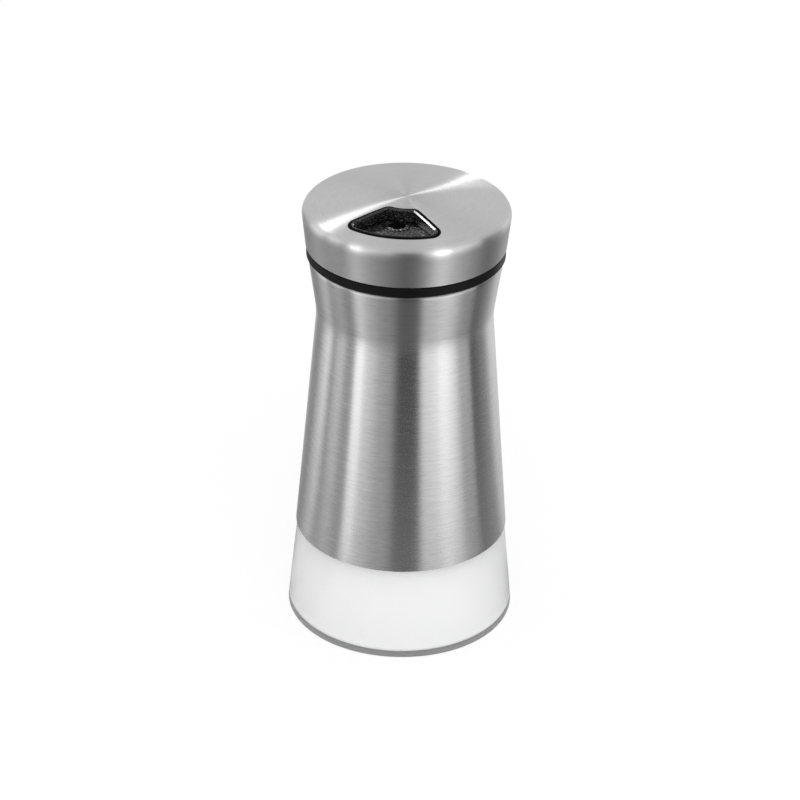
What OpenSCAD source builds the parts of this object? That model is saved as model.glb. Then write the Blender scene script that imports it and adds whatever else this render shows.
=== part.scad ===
// Spice shaker for the table: a glass bottle in a waisted steel sleeve, closed by a moulded
// lid that screws on. A domed steel cap turns on the lid, and its fan-shaped window passes
// over sets of dosing holes. Millimetres, +Z up, origin in the middle of the foot's plane.

/* [Bottle] */
// Outer diameter of the glass foot at its widest
base_d = 57.6; // [54:0.2:64]
// Height of the bare glass foot below the sleeve
foot_h = 24.5; // [18:0.5:32]
// Wall of the glass body
glass_wall = 1.8; // [1.6:0.1:3]
// Thickness of the glass floor at its edge
floor_t = 1.7; // [1.5:0.1:5]
// Radius where the inner wall meets the floor
floor_r = 1.5; // [1.2:0.1:5]
// Radius of the outer heel
heel_r = 1; // [0.8:0.1:3]
// Height of the hollow under the floor
punt_h = 0.4; // [0.2:0.1:0.6]
// Width of the flat ring that the bottle stands on
foot_ring_w = 6; // [4:0.5:9]
// Height of the neck above the shoulder
neck_h = 9.2; // [8:0.1:10.5]
// Wall of the neck
neck_wall = 2.4; // [2:0.1:2.8]
// Step from the shoulder in to the neck
shoulder_w = 2.9; // [2.6:0.1:3.4]
// Rounding of the shoulder's outer edge
shoulder_r = 0.5; // [0.3:0.1:0.8]
// Rounding of the rim's edges
rim_r = 0.7; // [0.4:0.1:0.9]

/* [Sleeve] */
// Height of the sleeve's cone, from the glass foot up to the waist
taper_h = 60; // [50:1:72]
// Height of the flare, from the waist up to the lid
flare_h = 15.1; // [13:0.1:19]
// Diameter where the lines of cone and flare cross at the waist
waist_d = 43.6; // [40:0.2:48]
// Radius that blends cone and flare at the waist
waist_blend_r = 22; // [14:1:30]
// Thickness of the sleeve's sheet
sleeve_t = 0.5; // [0.4:0.05:0.7]
// Glue gap between sleeve and glass
sleeve_gap = 0.1; // [0.08:0.01:0.14]
// How far the sleeve's lower edge stands proud of the bare glass
sleeve_proud = 0.25; // [0.15:0.05:0.35]
// Outer radius where the flare turns into the top lip
sleeve_corner_r = 0.9; // [0.8:0.05:1.2]
// How far the sleeve's top stays inside the cap's lower edge
sleeve_setback = 0.55; // [0.2:0.05:0.6]
// Clearance of the top lip around the thread
lip_gap = 0.4; // [0.3:0.05:0.6]

/* [Thread] */
// Rise of the thread in one turn
pitch = 4; // [3.6:0.1:4.6]
// Turns of thread in the lid, and at most on the neck
thread_turns = 1.2; // [0.9:0.05:1.3]
// Height of the thread's tooth
thread_depth = 1.1; // [0.9:0.05:1.3]
// Width of the tooth at its root
thread_root_w = 1.7; // [1.5:0.05:1.9]
// Width of the tooth at its crest
thread_crest_w = 0.9; // [0.7:0.05:1.1]
// Radial clearance between a crest and the wall facing it
thread_gap = 0.45; // [0.35:0.05:0.6]
// Clearance between the flanks of neck thread and lid thread
flank_gap = 0.2; // [0.15:0.05:0.3]
// Distance from the band's underside up to the lid thread's lowest tooth
thread_lift = 0.1; // [0.05:0.05:0.3]

/* [Lid] */
// Height of the black band between sleeve and cap
band_h = 2.45; // [1.8:0.05:3]
// Gap between the sleeve's lip and the band
seat_gap = 0.15; // [0.1:0.05:0.25]
// How far the band stays inside the cap's lower edge
band_setback = 0.15; // [0.1:0.05:0.3]
// Chamfer on the band's edges
band_chamfer = 0.25; // [0.15:0.05:0.35]
// Wall of the lid's skirt
skirt_wall = 1.75; // [1.4:0.05:2.1]
// Thickness of the lid's plate
plate_t = 1.75; // [1.4:0.05:2.1]
// Thickness of the seal ring
seal_t = 1.2; // [0.9:0.1:1.5]
// Gap on each face of the seal ring
seal_gap = 0.05; // [0.04:0.01:0.08]
// Gap around the seal ring inside the skirt
seal_side_gap = 0.25; // [0.2:0.05:0.4]
// Clearance of the centring rib inside the mouth
plug_gap = 0.5; // [0.4:0.05:0.7]
// Wall of the centring rib
plug_wall = 1.2; // [1:0.1:1.4]
// Depth of the centring rib below the plate
plug_h = 2.3; // [1.9:0.1:2.8]

/* [Dosing holes] */
// Diameter of the single hole
single_d = 4.2; // [3:0.1:4.4]
// Turn of the single hole away from the window's middle at rest, in degrees
single_turn = -2.7; // [-4:0.1:4]
// Diameter of the middle holes
middle_d = 2.5; // [2:0.1:3]
// Diameter of the fine holes
fine_d = 1.5; // [1.2:0.1:1.8]
// Distance of the hole sets from the axis
hole_ring_r = 9.6; // [9.2:0.1:10.4]
// Distance between the two rows of fine holes
fine_row_pitch = 2.6; // [2.4:0.1:2.9]
// Distance between neighbours in a row of fine holes
fine_pitch = 2.8; // [2.4:0.1:3.3]
// Distance between neighbouring middle holes
middle_pitch = 4.2; // [3.6:0.1:5]
// Height of the raised ring around the single hole
collar_h = 0.2; // [0.15:0.05:0.25]
// Width of the raised ring around the single hole
collar_w = 0.9; // [0.7:0.1:1.2]

/* [Dial] */
// Direction that the window faces at rest, in degrees from +X
dial_angle = -100.6; // [-180:0.1:180]
// Clearance between the lid's skirt and the liner
dial_gap = 0.35; // [0.3:0.05:0.5]
// Wall of the liner's skirt
liner_wall = 2.1; // [1.6:0.1:2.4]
// Thickness of the liner's domed disc
disc_t = 1; // [0.8:0.05:1.2]
// Gap between the plate and the liner's ribs and window frame
well_gap = 0.35; // [0.3:0.05:0.45]
// Gap between the black band and the cap
turn_gap = 0.12; // [0.1:0.01:0.2]
// Width of the window frame's wall
frame_w = 0.9; // [0.8:0.05:1.1]
// How far the window frame stands proud of the steel
frame_proud = 0.25; // [0.15:0.05:0.4]
// Gap between the window frame and the steel
frame_gap = 0.06; // [0.05:0.01:0.1]
// Thickness of the liner's ribs
rib_t = 1; // [0.8:0.1:1.3]

/* [Window] */
// Distance of the window's inner arc from the axis
window_in_r = 6.7; // [6.5:0.1:7.2]
// Steel and liner left between the window and the liner's skirt
window_land = 1.2; // [1:0.1:2]
// Half of the angle between the window's sides
window_half_angle = 42; // [34:1:48]
// Distance from the axis to the point where the sides would meet
window_apex = 2.1; // [1.5:0.1:2.8]
// Radius of the window's outer corners
window_corner_r = 3; // [2:0.1:3.4]
// Radius of the window's inner corners
window_inner_r = 1.8; // [1.2:0.1:2]

/* [Cap] */
// Thickness of the cap's sheet
cap_t = 0.45; // [0.35:0.05:0.55]
// Gap between the cap's sheet and its liner
clad_gap = 0.05; // [0.04:0.01:0.08]
// Radius of the domed top
dome_r = 139; // [110:1:180]
// Radius of the cap's top edge
cap_edge_r = 2.2; // [2:0.1:3.4]
// Outward lean of the cap's skirt, in degrees
cap_lean = 6.2; // [3:0.1:8]
// Width of the edge that is turned in under the liner
crimp_w = 1.1; // [0.9:0.1:1.5]

/* [Pivot] */
// Diameter of the liner's post in the plate
post_d = 5.8; // [5:0.1:6.4]
// Radial clearance of the post in the plate
post_gap = 0.06; // [0.05:0.01:0.09]
// Width of the shoulder that the dial turns on, around the post
thrust_w = 1.4; // [1.2:0.1:1.6]
// Gap under the shoulder
thrust_gap = 0.1; // [0.08:0.01:0.14]
// Play between the washer and the plate
end_play = 0.15; // [0.1:0.01:0.2]
// Outer diameter of the washer
washer_d = 10.4; // [9:0.1:12]
// Thickness of the washer
washer_t = 0.6; // [0.4:0.1:0.8]
// Diameter of the screw's shank
screw_d = 2.6; // [2.2:0.1:3]
// Clearance around the shank
screw_gap = 0.05; // [0.04:0.01:0.08]
// Length of the shank inside the post
screw_grip = 3.8; // [3:0.1:4]
// Diameter of the screw's head
head_d = 5.6; // [5:0.1:6.6]
// Height of the screw's head
head_h = 1.8; // [1.5:0.1:2.1]
// Width of the slots of the cross recess
recess_w = 0.8; // [0.6:0.1:1]
// Depth of the cross recess
recess_h = 0.9; // [0.7:0.1:1.1]
// Distance of the click track from the thrust shoulder
track_inset = 0.5; // [0.4:0.1:0.6]
// Width of the click track
track_w = 1.2; // [1.1:0.1:1.3]
// Depth of the click track
track_h = 0.5; // [0.4:0.05:0.6]
// Further depth of a click pocket
pocket_h = 0.35; // [0.25:0.05:0.45]
// Diameter of the click nub
nub_d = 0.8; // [0.7:0.05:0.9]
// Gap between the nub and the floor of the track
nub_gap = 0.12; // [0.1:0.01:0.15]

/* [Hidden] */
$fn = 96;
// Overrun of cuts, and depth by which joined shapes run into each other
over = 0.5;
bite = 0.3;
arc_steps = 8;
dome_steps = 10;
stop_count = 4;
stop_angle = 360 / stop_count;
// Directions of the ribs, measured from the window
rib_angles = [70, 108, 146, 214, 252, 290];
thread_steps = 24;
fade_steps = 4;

// Heights, from the foot upwards
waist_z = foot_h + taper_h;
sleeve_z1 = waist_z + flare_h;
shoulder_z = sleeve_z1 - sleeve_t;
rim_z = shoulder_z + neck_h;
seal_z0 = rim_z + seal_gap;
plate_z0 = seal_z0 + seal_t + seal_gap;
plate_z1 = plate_z0 + plate_t;
band_z0 = sleeve_z1 + seat_gap;
band_z1 = band_z0 + band_h;
cap_z0 = band_z1 + turn_gap;
liner_z0 = cap_z0 + cap_t + clad_gap;
well_z = plate_z1 + well_gap;
thrust_z = plate_z1 + thrust_gap;
post_z0 = plate_z0 - end_play;
washer_z0 = post_z0 - washer_t;
track_z = plate_z1 - track_h;

// Radii, from the waist outwards
base_r = base_d / 2;
waist_r = waist_d / 2;
taper_lean = atan((base_r - waist_r) / (waist_z - heel_r));
sleeve_in = sleeve_t + sleeve_gap;
body_r = waist_r - sleeve_in / cos(taper_lean);
neck_r = body_r - shoulder_w;
mouth_r = neck_r - neck_wall;
crest_r = neck_r + thread_depth;
skirt_in_r = crest_r + thread_gap;
skirt_r = skirt_in_r + skirt_wall;
dial_in_r = skirt_r + dial_gap;
cap_foot_r = dial_in_r + liner_wall + clad_gap + cap_t;
sleeve_top_r = cap_foot_r - sleeve_setback;
band_r = cap_foot_r - band_setback;
lip_r = crest_r + lip_gap;
flare_lean = atan((sleeve_top_r - waist_r) / flare_h);
plug_r = mouth_r - plug_gap;
bore_r = post_d / 2 + post_gap;
hub_r = post_d / 2 + thrust_w;
track_r0 = hub_r + track_inset;
track_mid_r = track_r0 + track_w / 2;

// The cap's dome: a sphere whose underside meets the liner's skirt at the level of the well
liner_in = cap_t + clad_gap;
disc_in = liner_in + disc_t;
top_z = well_z + dome_r - sqrt(pow(dome_r - disc_in, 2) - pow(dial_in_r, 2));
dome_z = top_z - dome_r;
// The cap's edge: a circle that touches the dome and the leaning skirt from inside
lean_tan = tan(cap_lean);
edge_a = cap_foot_r - cap_edge_r / cos(cap_lean) + (dome_z - cap_z0) * lean_tan;
edge_b = pow(edge_a, 2) - pow(dome_r - cap_edge_r, 2);
edge_up = (sqrt(pow(edge_a * lean_tan, 2) - (1 + pow(lean_tan, 2)) * edge_b) - edge_a * lean_tan)
          / (1 + pow(lean_tan, 2));
edge_x = edge_a + edge_up * lean_tan;
edge_z = dome_z + edge_up;
dome_half = atan(edge_x / edge_up);

echo(total_height = top_z, cap_radius = edge_x + cap_edge_r, mouth = mouth_r);

// Points of an arc around a centre
function arc(x, y, r, from, to, steps) =
    [for (i = [0 : steps]) [x + r * cos(from + (to - from) * i / steps),
                            y + r * sin(from + (to - from) * i / steps)]];
function flip(points) = [for (i = [len(points) - 1 : -1 : 0]) points[i]];
function mirrored(points) = [for (p = flip(points)) [p[0], -p[1]]];

// Outer line of the cone and of the flare at a height, moved in by a distance
function taper_x(z, in = 0) = waist_r + (waist_z - z) * tan(taper_lean) - in / cos(taper_lean);
function flare_x(z, in = 0) = waist_r + (z - waist_z) * tan(flare_lean) - in / cos(flare_lean);

// The sleeve's outline from its lower edge up to the lip, moved in by a distance
blend_len = waist_blend_r * tan((taper_lean + flare_lean) / 2);
blend_x = taper_x(waist_z - blend_len * cos(taper_lean)) + waist_blend_r * cos(taper_lean);
blend_z = waist_z - blend_len * cos(taper_lean) + waist_blend_r * sin(taper_lean);
corner_z = sleeve_z1 - sleeve_corner_r;
corner_x = flare_x(corner_z, sleeve_corner_r);
function sleeve_line(in) = concat(
    [[taper_x(foot_h, in), foot_h]],
    arc(blend_x, blend_z, waist_blend_r + in, 180 + taper_lean, 180 - flare_lean, arc_steps),
    arc(corner_x, corner_z, sleeve_corner_r - in, -flare_lean, 90, arc_steps),
    [[lip_r, sleeve_z1 - in]]);

// The cap's outline from the axis down to a height, moved in by a distance
function cap_x(z, in) = cap_foot_r + (z - cap_z0) * lean_tan - in / cos(cap_lean);
function cap_line(in, z) = concat(
    arc(0, dome_z, dome_r - in, 90, 90 - dome_half, dome_steps),
    arc(edge_x, edge_z, cap_edge_r - in, 90 - dome_half, -cap_lean, arc_steps),
    [[cap_x(z, in), z]]);

// The window's outline, with the window facing +X, moved in by a distance. The circles of its
// corners keep their centres: each touches a side and the outer or the inner arc.
window_out_r = dial_in_r - window_land;
side_u = [cos(window_half_angle), sin(window_half_angle)];
side_n = [-sin(window_half_angle), cos(window_half_angle)];
function on_side(r, reach) = let(
    q = [window_apex, 0] - r * side_n,
    along = q * side_u,
    far = sqrt(pow(along, 2) - q * q + pow(reach, 2)) - along)
    q + far * side_u;
outer_c = on_side(window_corner_r, window_out_r - window_corner_r);
inner_c = on_side(window_inner_r, window_in_r + window_inner_r);
outer_dir = atan2(outer_c[1], outer_c[0]);
inner_dir = atan2(inner_c[1], inner_c[0]);
side_dir = window_half_angle + 90;
function window_corners(in) = concat(
    arc(outer_c[0], outer_c[1], window_corner_r - in, outer_dir, side_dir, arc_steps),
    arc(inner_c[0], inner_c[1], window_inner_r - in, side_dir, inner_dir + 180, arc_steps));
function window_line(in) = concat(
    arc(0, 0, window_out_r - in, -outer_dir, outer_dir, arc_steps),
    window_corners(in),
    arc(0, 0, window_in_r + in, inner_dir, -inner_dir, arc_steps),
    mirrored(window_corners(in)));

module window_prism(in, z0, z1) {
    rotate([0, 0, dial_angle])
        translate([0, 0, z0])
            linear_extrude(z1 - z0)
                polygon(window_line(in));
}

// One screw thread: a tooth carried up a right-hand helix, which rises out of the wall over
// the first steps and sinks back into it over the last. Side 1 points outwards, -1 inwards.
module thread(wall_r, side, z, turns) {
    count = round(thread_steps * turns);
    turn = 360 * turns;
    function shown(i) = min(1, i / fade_steps, (count - i) / fade_steps);
    function crest(i) = wall_r + side * (thread_depth * shown(i) - bite * (1 - shown(i)) / 2);
    function root(i) = wall_r - side * bite;
    function tooth(i) = let(
        a = turn * i / count,
        up = z + pitch * a / 360,
        far = [cos(a), sin(a)] * crest(i),
        near = [cos(a), sin(a)] * root(i))
        [[near[0], near[1], up - thread_root_w / 2], [far[0], far[1], up - thread_crest_w / 2],
         [far[0], far[1], up + thread_crest_w / 2], [near[0], near[1], up + thread_root_w / 2]];
    points = [for (i = [0 : count], p = tooth(i)) p];
    sides = [for (i = [0 : count - 1], k = [0 : 3]) let(
        a = 4 * i + k,
        b = 4 * i + (k + 1) % 4)
        side < 0 ? [a, a + 4, b + 4, b] : [b, b + 4, a + 4, a]];
    first = side < 0 ? [0, 1, 2, 3] : [3, 2, 1, 0];
    last = side < 0 ? [3, 2, 1, 0] : [0, 1, 2, 3];
    polyhedron(points, concat(sides, [first, [for (k = last) 4 * count + k]]));
}
// The lid's lowest tooth stays above the band's underside, the neck's teeth stand on top of the
// lid's by the flank gap, and the neck's thread ends below its rim.
lid_thread_z = band_z0 + thread_lift + thread_root_w / 2;
mesh_depth = thread_depth - thread_gap;
flank_run = (thread_root_w - thread_crest_w) / 2 / thread_depth;
neck_thread_z = lid_thread_z + thread_crest_w + mesh_depth * flank_run + flank_gap;
neck_turns = min(thread_turns, (rim_z - rim_r / 2 - thread_root_w / 2 - neck_thread_z) / pitch);

// Pressed glass: foot with a ledge for the sleeve, conical body, shoulder and threaded neck
module glass_bottle() {
    ring_r = base_r - heel_r - foot_ring_w;
    ledge_r = taper_x(foot_h, sleeve_proud);
    inner_r = body_r - glass_wall;
    inner_z = shoulder_z - glass_wall;
    fillet_z = floor_t + floor_r;
    wall_in = sleeve_in + glass_wall;
    punt = [for (i = [0 : arc_steps]) [ring_r * i / arc_steps, punt_h * (1 - pow(i / arc_steps, 2))]];
    outside = concat(
        punt,
        arc(base_r - heel_r, heel_r, heel_r, -90, taper_lean, arc_steps),
        [[ledge_r, foot_h], [taper_x(foot_h, sleeve_in), foot_h], [body_r, waist_z]],
        arc(body_r - shoulder_r, shoulder_z - shoulder_r, shoulder_r, 0, 90, arc_steps),
        [[neck_r, shoulder_z]],
        arc(neck_r - rim_r, rim_z - rim_r, rim_r, 0, 90, arc_steps));
    inside = concat(
        arc(mouth_r + rim_r, rim_z - rim_r, rim_r, 90, 180, arc_steps),
        [[mouth_r, inner_z], [inner_r, inner_z - inner_r + mouth_r], [inner_r, waist_z]],
        arc(taper_x(fillet_z, wall_in) - floor_r, fillet_z, floor_r, taper_lean, -90, arc_steps),
        [[0, floor_t]]);
    color([0.86, 0.9, 0.9, 0.45]) {
        rotate_extrude() polygon(concat(outside, inside));
        thread(neck_r, 1, neck_thread_z, neck_turns);
    }
}

// Stainless sheet: stands on the glass ledge, and its top lip lies on the glass shoulder
module steel_sleeve() {
    color([0.68, 0.68, 0.69])
        rotate_extrude()
            polygon(concat(sleeve_line(0), flip(sleeve_line(sleeve_t))));
}

// Silicone ring on the bottle's rim, under the lid's plate
module lid_seal() {
    in_r = plug_r + seal_side_gap;
    out_r = skirt_in_r - seal_side_gap;
    edge = seal_t / 3;
    color([0.9, 0.9, 0.88])
        rotate_extrude()
            polygon([[in_r + edge, seal_z0], [out_r - edge, seal_z0], [out_r, seal_z0 + edge],
                     [out_r, seal_z0 + seal_t], [in_r, seal_z0 + seal_t], [in_r, seal_z0 + edge]]);
}

// Places for a row of holes around a radius
module hole_row(r, spacing, count) {
    step = spacing / r * 180 / PI;
    for (i = [0 : count - 1])
        rotate([0, 0, (i - (count - 1) / 2) * step])
            translate([r, 0, plate_z0 - over])
                children();
}

// Moulded lid: band, threaded skirt, plate with four stops of the dial, click track and rib
module lid_base() {
    through = plate_t + 2 * over;
    track_r1 = track_r0 + track_w;
    outline = [
        [bore_r, plate_z0], [plug_r - plug_wall, plate_z0], [plug_r - plug_wall, plate_z0 - plug_h],
        [plug_r, plate_z0 - plug_h], [plug_r, plate_z0], [skirt_in_r, plate_z0],
        [skirt_in_r, band_z0 + band_chamfer], [skirt_in_r + band_chamfer, band_z0],
        [band_r - band_chamfer, band_z0], [band_r, band_z0 + band_chamfer],
        [band_r, band_z1 - band_chamfer], [band_r - band_chamfer, band_z1], [skirt_r, band_z1],
        [skirt_r, plate_z1 - band_chamfer], [skirt_r - band_chamfer, plate_z1],
        [track_r1, plate_z1], [track_r1, track_z], [track_r0, track_z], [track_r0, plate_z1],
        [bore_r, plate_z1]];
    color([0.09, 0.09, 0.09]) {
        difference() {
            union() {
                rotate_extrude() polygon(outline);
                rotate([0, 0, dial_angle + single_turn])
                    translate([hole_ring_r, 0, plate_z1 - bite])
                        cylinder(h = bite + collar_h, d = single_d + 2 * collar_w);
            }
            rotate([0, 0, dial_angle + single_turn])
                hole_row(hole_ring_r, single_d, 1)
                    cylinder(h = through, d = single_d);
            rotate([0, 0, dial_angle + stop_angle])
                hole_row(hole_ring_r, middle_pitch, 3)
                    cylinder(h = through, d = middle_d);
            rotate([0, 0, dial_angle + 2 * stop_angle]) {
                hole_row(hole_ring_r, fine_pitch, 3)
                    cylinder(h = through, d = fine_d);
                hole_row(hole_ring_r + fine_row_pitch, fine_pitch, 4)
                    cylinder(h = through, d = fine_d);
            }
            for (i = [0 : stop_count - 1])
                rotate([0, 0, dial_angle + i * stop_angle])
                    translate([track_mid_r, 0, track_z - pocket_h])
                        cylinder(h = pocket_h + over, d = nub_d + track_inset);
        }
        thread(skirt_in_r, -1, lid_thread_z, thread_turns);
    }
}

// Moulded liner of the cap: domed disc, skirt, window frame, ribs, click nub and pivot post
module dial_liner() {
    frame_in = frame_gap + frame_w;
    nub_z = track_z + nub_gap;
    shell = concat(
        cap_line(liner_in, liner_z0),
        [[dial_in_r, liner_z0], [dial_in_r, well_z]],
        arc(0, dome_z, dome_r - disc_in, 90 - asin(dial_in_r / (dome_r - disc_in)), 90, dome_steps));
    under_dome = concat(
        arc(0, dome_z, dome_r - disc_in + bite, 90, 90 - asin(dial_in_r / dome_r), dome_steps),
        [[dial_in_r, well_z], [0, well_z]]);
    color([0.07, 0.07, 0.07])
        difference() {
            union() {
                rotate_extrude() polygon(shell);
                intersection() {
                    window_prism(frame_gap, well_z, top_z + frame_proud);
                    rotate_extrude()
                        polygon(concat(
                            arc(0, dome_z, dome_r + frame_proud, 90, 90 - dome_half, dome_steps),
                            [[edge_x, well_z], [0, well_z]]));
                }
                intersection() {
                    rotate_extrude() polygon(under_dome);
                    for (a = rib_angles)
                        rotate([0, 0, dial_angle + a])
                            translate([0, -rib_t / 2, well_z])
                                cube([dial_in_r + bite, rib_t, top_z - well_z]);
                }
                translate([0, 0, thrust_z])
                    cylinder(h = top_z - disc_in + bite - thrust_z, r = hub_r);
                translate([0, 0, post_z0])
                    cylinder(h = thrust_z - post_z0 + bite, d = post_d);
                rotate([0, 0, dial_angle + 180])
                    translate([track_mid_r, 0, nub_z])
                        cylinder(h = top_z - disc_in - nub_z, d = nub_d);
            }
            window_prism(frame_in, well_z - over, top_z + over);
            translate([0, 0, post_z0 - over])
                cylinder(h = screw_grip + 2 * over, d = screw_d + 2 * screw_gap);
        }
}

// Drawn stainless cap: dome, leaning skirt, lower edge turned in under the liner, window
module steel_cap() {
    bend_r = cap_t + clad_gap;
    bend_z = cap_z0 + bend_r;
    outline = concat(
        cap_line(0, bend_z),
        arc(cap_x(bend_z, bend_r), bend_z, bend_r, -cap_lean, -90, arc_steps),
        [[cap_foot_r - crimp_w, cap_z0], [cap_foot_r - crimp_w, cap_z0 + cap_t]],
        flip(cap_line(cap_t, cap_z0 + cap_t)));
    color([0.72, 0.72, 0.73])
        difference() {
            rotate_extrude() polygon(outline);
            window_prism(0, well_z, top_z + over);
        }
}

// Pan head screw, driven from below through the washer into the post
module pivot_screw() {
    crown = head_h / 3;
    color([0.6, 0.6, 0.62])
        difference() {
            union() {
                rotate_extrude()
                    polygon([[0, washer_z0 - head_h], [head_d / 4, washer_z0 - head_h],
                             [head_d / 2 - crown, washer_z0 - head_h + crown / 2],
                             [head_d / 2, washer_z0 - head_h + 2 * crown],
                             [head_d / 2, washer_z0], [0, washer_z0]]);
                translate([0, 0, washer_z0 - bite])
                    cylinder(h = bite + washer_t + screw_grip, d = screw_d);
            }
            for (a = [0, 90])
                rotate([0, 0, a])
                    translate([-head_d / 4, -recess_w / 2, washer_z0 - head_h - over])
                        cube([head_d / 2, recess_w, recess_h + over]);
        }
}

// Washer between the screw's head and the post's end, wider than the plate's bore
module pivot_washer() {
    color([0.66, 0.66, 0.68])
        translate([0, 0, washer_z0])
            difference() {
                cylinder(h = washer_t, d = washer_d);
                translate([0, 0, -over])
                    cylinder(h = washer_t + 2 * over, d = screw_d + 2 * screw_gap);
            }
}

glass_bottle();
steel_sleeve();
lid_seal();
lid_base();
dial_liner();
steel_cap();
pivot_screw();
pivot_washer();
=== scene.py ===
# The looks of a table shaker for salt or spice: glass bottle, brushed steel sleeve, black
# moulded lid and a domed steel cap whose window turns over the dosing holes. Metres, +Z up.
import math

import bpy
import numpy as np
from mathutils import Matrix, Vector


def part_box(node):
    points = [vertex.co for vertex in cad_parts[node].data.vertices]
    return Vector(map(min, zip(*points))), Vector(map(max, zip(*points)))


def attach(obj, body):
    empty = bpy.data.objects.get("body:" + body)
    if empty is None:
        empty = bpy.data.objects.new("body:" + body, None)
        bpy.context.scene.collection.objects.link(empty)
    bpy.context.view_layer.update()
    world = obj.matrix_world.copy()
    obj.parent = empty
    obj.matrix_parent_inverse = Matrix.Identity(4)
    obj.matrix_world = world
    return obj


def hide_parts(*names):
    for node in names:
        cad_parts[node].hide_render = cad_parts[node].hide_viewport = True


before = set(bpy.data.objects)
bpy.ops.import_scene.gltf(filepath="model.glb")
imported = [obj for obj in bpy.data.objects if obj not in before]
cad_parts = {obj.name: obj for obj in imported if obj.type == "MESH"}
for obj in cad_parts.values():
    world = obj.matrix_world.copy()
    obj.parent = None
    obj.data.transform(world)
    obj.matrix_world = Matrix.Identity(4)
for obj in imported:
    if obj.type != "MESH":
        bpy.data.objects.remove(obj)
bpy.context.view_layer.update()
mm = 0.001
bpy.context.scene.view_settings.view_transform = "Standard"

# Camera
# A long lens, 0.75 m from the shaker and 29 degrees above the table, as the ellipses of rim
# and foot in the photograph ask for. The picture leans clockwise by about one degree.
image_side = 800
focal_px = 2973
camera_distance = 0.7462
camera_rise = math.radians(29.16)
camera_lean = math.radians(1.11)
aim_height = 57.5 * mm
aim_pixel = (403.1, 403.7)

camera_data = bpy.data.cameras.new("camera")
camera_data.sensor_width = 36
camera_data.lens = focal_px / image_side * camera_data.sensor_width
camera_data.shift_x = (image_side / 2 - aim_pixel[0]) / image_side
camera_data.shift_y = (aim_pixel[1] - image_side / 2) / image_side
camera_data.clip_start = 0.01
camera_data.clip_end = 50
camera = bpy.data.objects.new("camera", camera_data)
bpy.context.scene.collection.objects.link(camera)
bpy.context.scene.camera = camera
ahead = np.array([0, math.cos(camera_rise), -math.sin(camera_rise)])
level = np.array([1, 0, 0])
upward = np.cross(level, ahead)
cam_right = math.cos(camera_lean) * level + math.sin(camera_lean) * upward
cam_up = math.cos(camera_lean) * upward - math.sin(camera_lean) * level
turn = np.eye(4)
turn[:3, 0], turn[:3, 1], turn[:3, 2] = cam_right, cam_up, -ahead
turn[:3, 3] = np.array([0, 0, aim_height]) - ahead * camera_distance
camera.matrix_world = Matrix(turn.tolist())


# Table and light
# A white table top without an edge and an even white room. What camera, metal and glass see of
# it is plain white, but for the shade at the foot. Two small lamps behind draw the streak across
# the cap, and a soft lamp in front lights the salt.
def new_material(name):
    """An empty node material, its node tree and its output node."""
    material = bpy.data.materials.new(name)
    material.use_nodes = True
    material.node_tree.nodes.clear()
    output = material.node_tree.nodes.new("ShaderNodeOutputMaterial")
    return material, material.node_tree, output


def add(tree, kind, inputs=None, **settings):
    """A node of that kind: settings are its properties, inputs its socket values or links."""
    node = tree.nodes.new(kind)
    for key, value in settings.items():
        setattr(node, key, value)
    for key, value in (inputs or {}).items():
        if isinstance(value, bpy.types.NodeSocket):
            tree.links.new(value, node.inputs[key])
        else:
            node.inputs[key].default_value = value
    return node


def maths(tree, operation, *terms):
    """The result of a math node. Each term is a number or a link."""
    return add(tree, "ShaderNodeMath", dict(enumerate(terms)), operation=operation).outputs[0]


def spread(tree, value, target, source=(0.0, 1.0)):
    """A value carried in a straight line from the source's span to the target's, held at its
    ends."""
    return add(tree, "ShaderNodeMapRange", {
        "Value": value, "From Min": source[0], "From Max": source[1],
        "To Min": target[0], "To Max": target[1]}).outputs[0]


def seen_plainly(tree):
    """1 for what camera, metal and glass see, 0 for the light that falls on matt surfaces."""
    path = add(tree, "ShaderNodeLightPath")
    first = maths(tree, "MAXIMUM", path.outputs["Is Camera Ray"], path.outputs["Is Glossy Ray"])
    return maths(tree, "MAXIMUM", first, path.outputs["Is Transmission Ray"])


room_level = 1.0
world = bpy.data.worlds.new("room")
bpy.context.scene.world = world
world.use_nodes = True
world.node_tree.nodes.clear()
room = world.node_tree
level_of_room = spread(room, seen_plainly(room), (room_level, 1.0))
room_light = add(room, "ShaderNodeBackground", {"Color": (1, 1, 1, 1), "Strength": level_of_room})
add(room, "ShaderNodeOutputWorld", {"Surface": room_light.outputs[0]})

table_side = 8
table_white_share = 0.72
# A hair below the foot, so that glass and table share no plane
table_z = -0.03 * mm
# Distances from the axis between which the shade at the foot fades out, for the eye and for
# the metal's reflections, and how dark the metal sees it
foot_shade = (26 * mm, 28.4 * mm)
mirror_shade = (30 * mm, 48 * mm)
mirror_dark = 0.22
table_mesh = bpy.data.meshes.new("table_top")
half = table_side / 2
table_mesh.from_pydata([(-half, -half, table_z), (half, -half, table_z), (half, half, table_z),
                        (-half, half, table_z)], [], [(0, 1, 2, 3)])
table = bpy.data.objects.new("table_top", table_mesh)
bpy.context.scene.collection.objects.link(table)
table_paint, tree, out = new_material("table_paint")
matt = add(tree, "ShaderNodeBsdfDiffuse", {"Color": (0.92, 0.92, 0.92, 1)})
spot = add(tree, "ShaderNodeTexCoord").outputs["Object"]
from_axis = add(tree, "ShaderNodeVectorMath", {0: spot}, operation="LENGTH").outputs["Value"]
open_table = spread(tree, from_axis, (0.0, table_white_share), foot_shade)
mirrored = spread(tree, from_axis, (mirror_dark, 1.0), mirror_shade)
path = add(tree, "ShaderNodeLightPath")
by_eye = maths(tree, "MAXIMUM", path.outputs["Is Camera Ray"], path.outputs["Diffuse Depth"])
level_of_table = add(tree, "ShaderNodeMath", {0: mirrored, 1: by_eye}, operation="MAXIMUM",
                     use_clamp=True)
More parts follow.
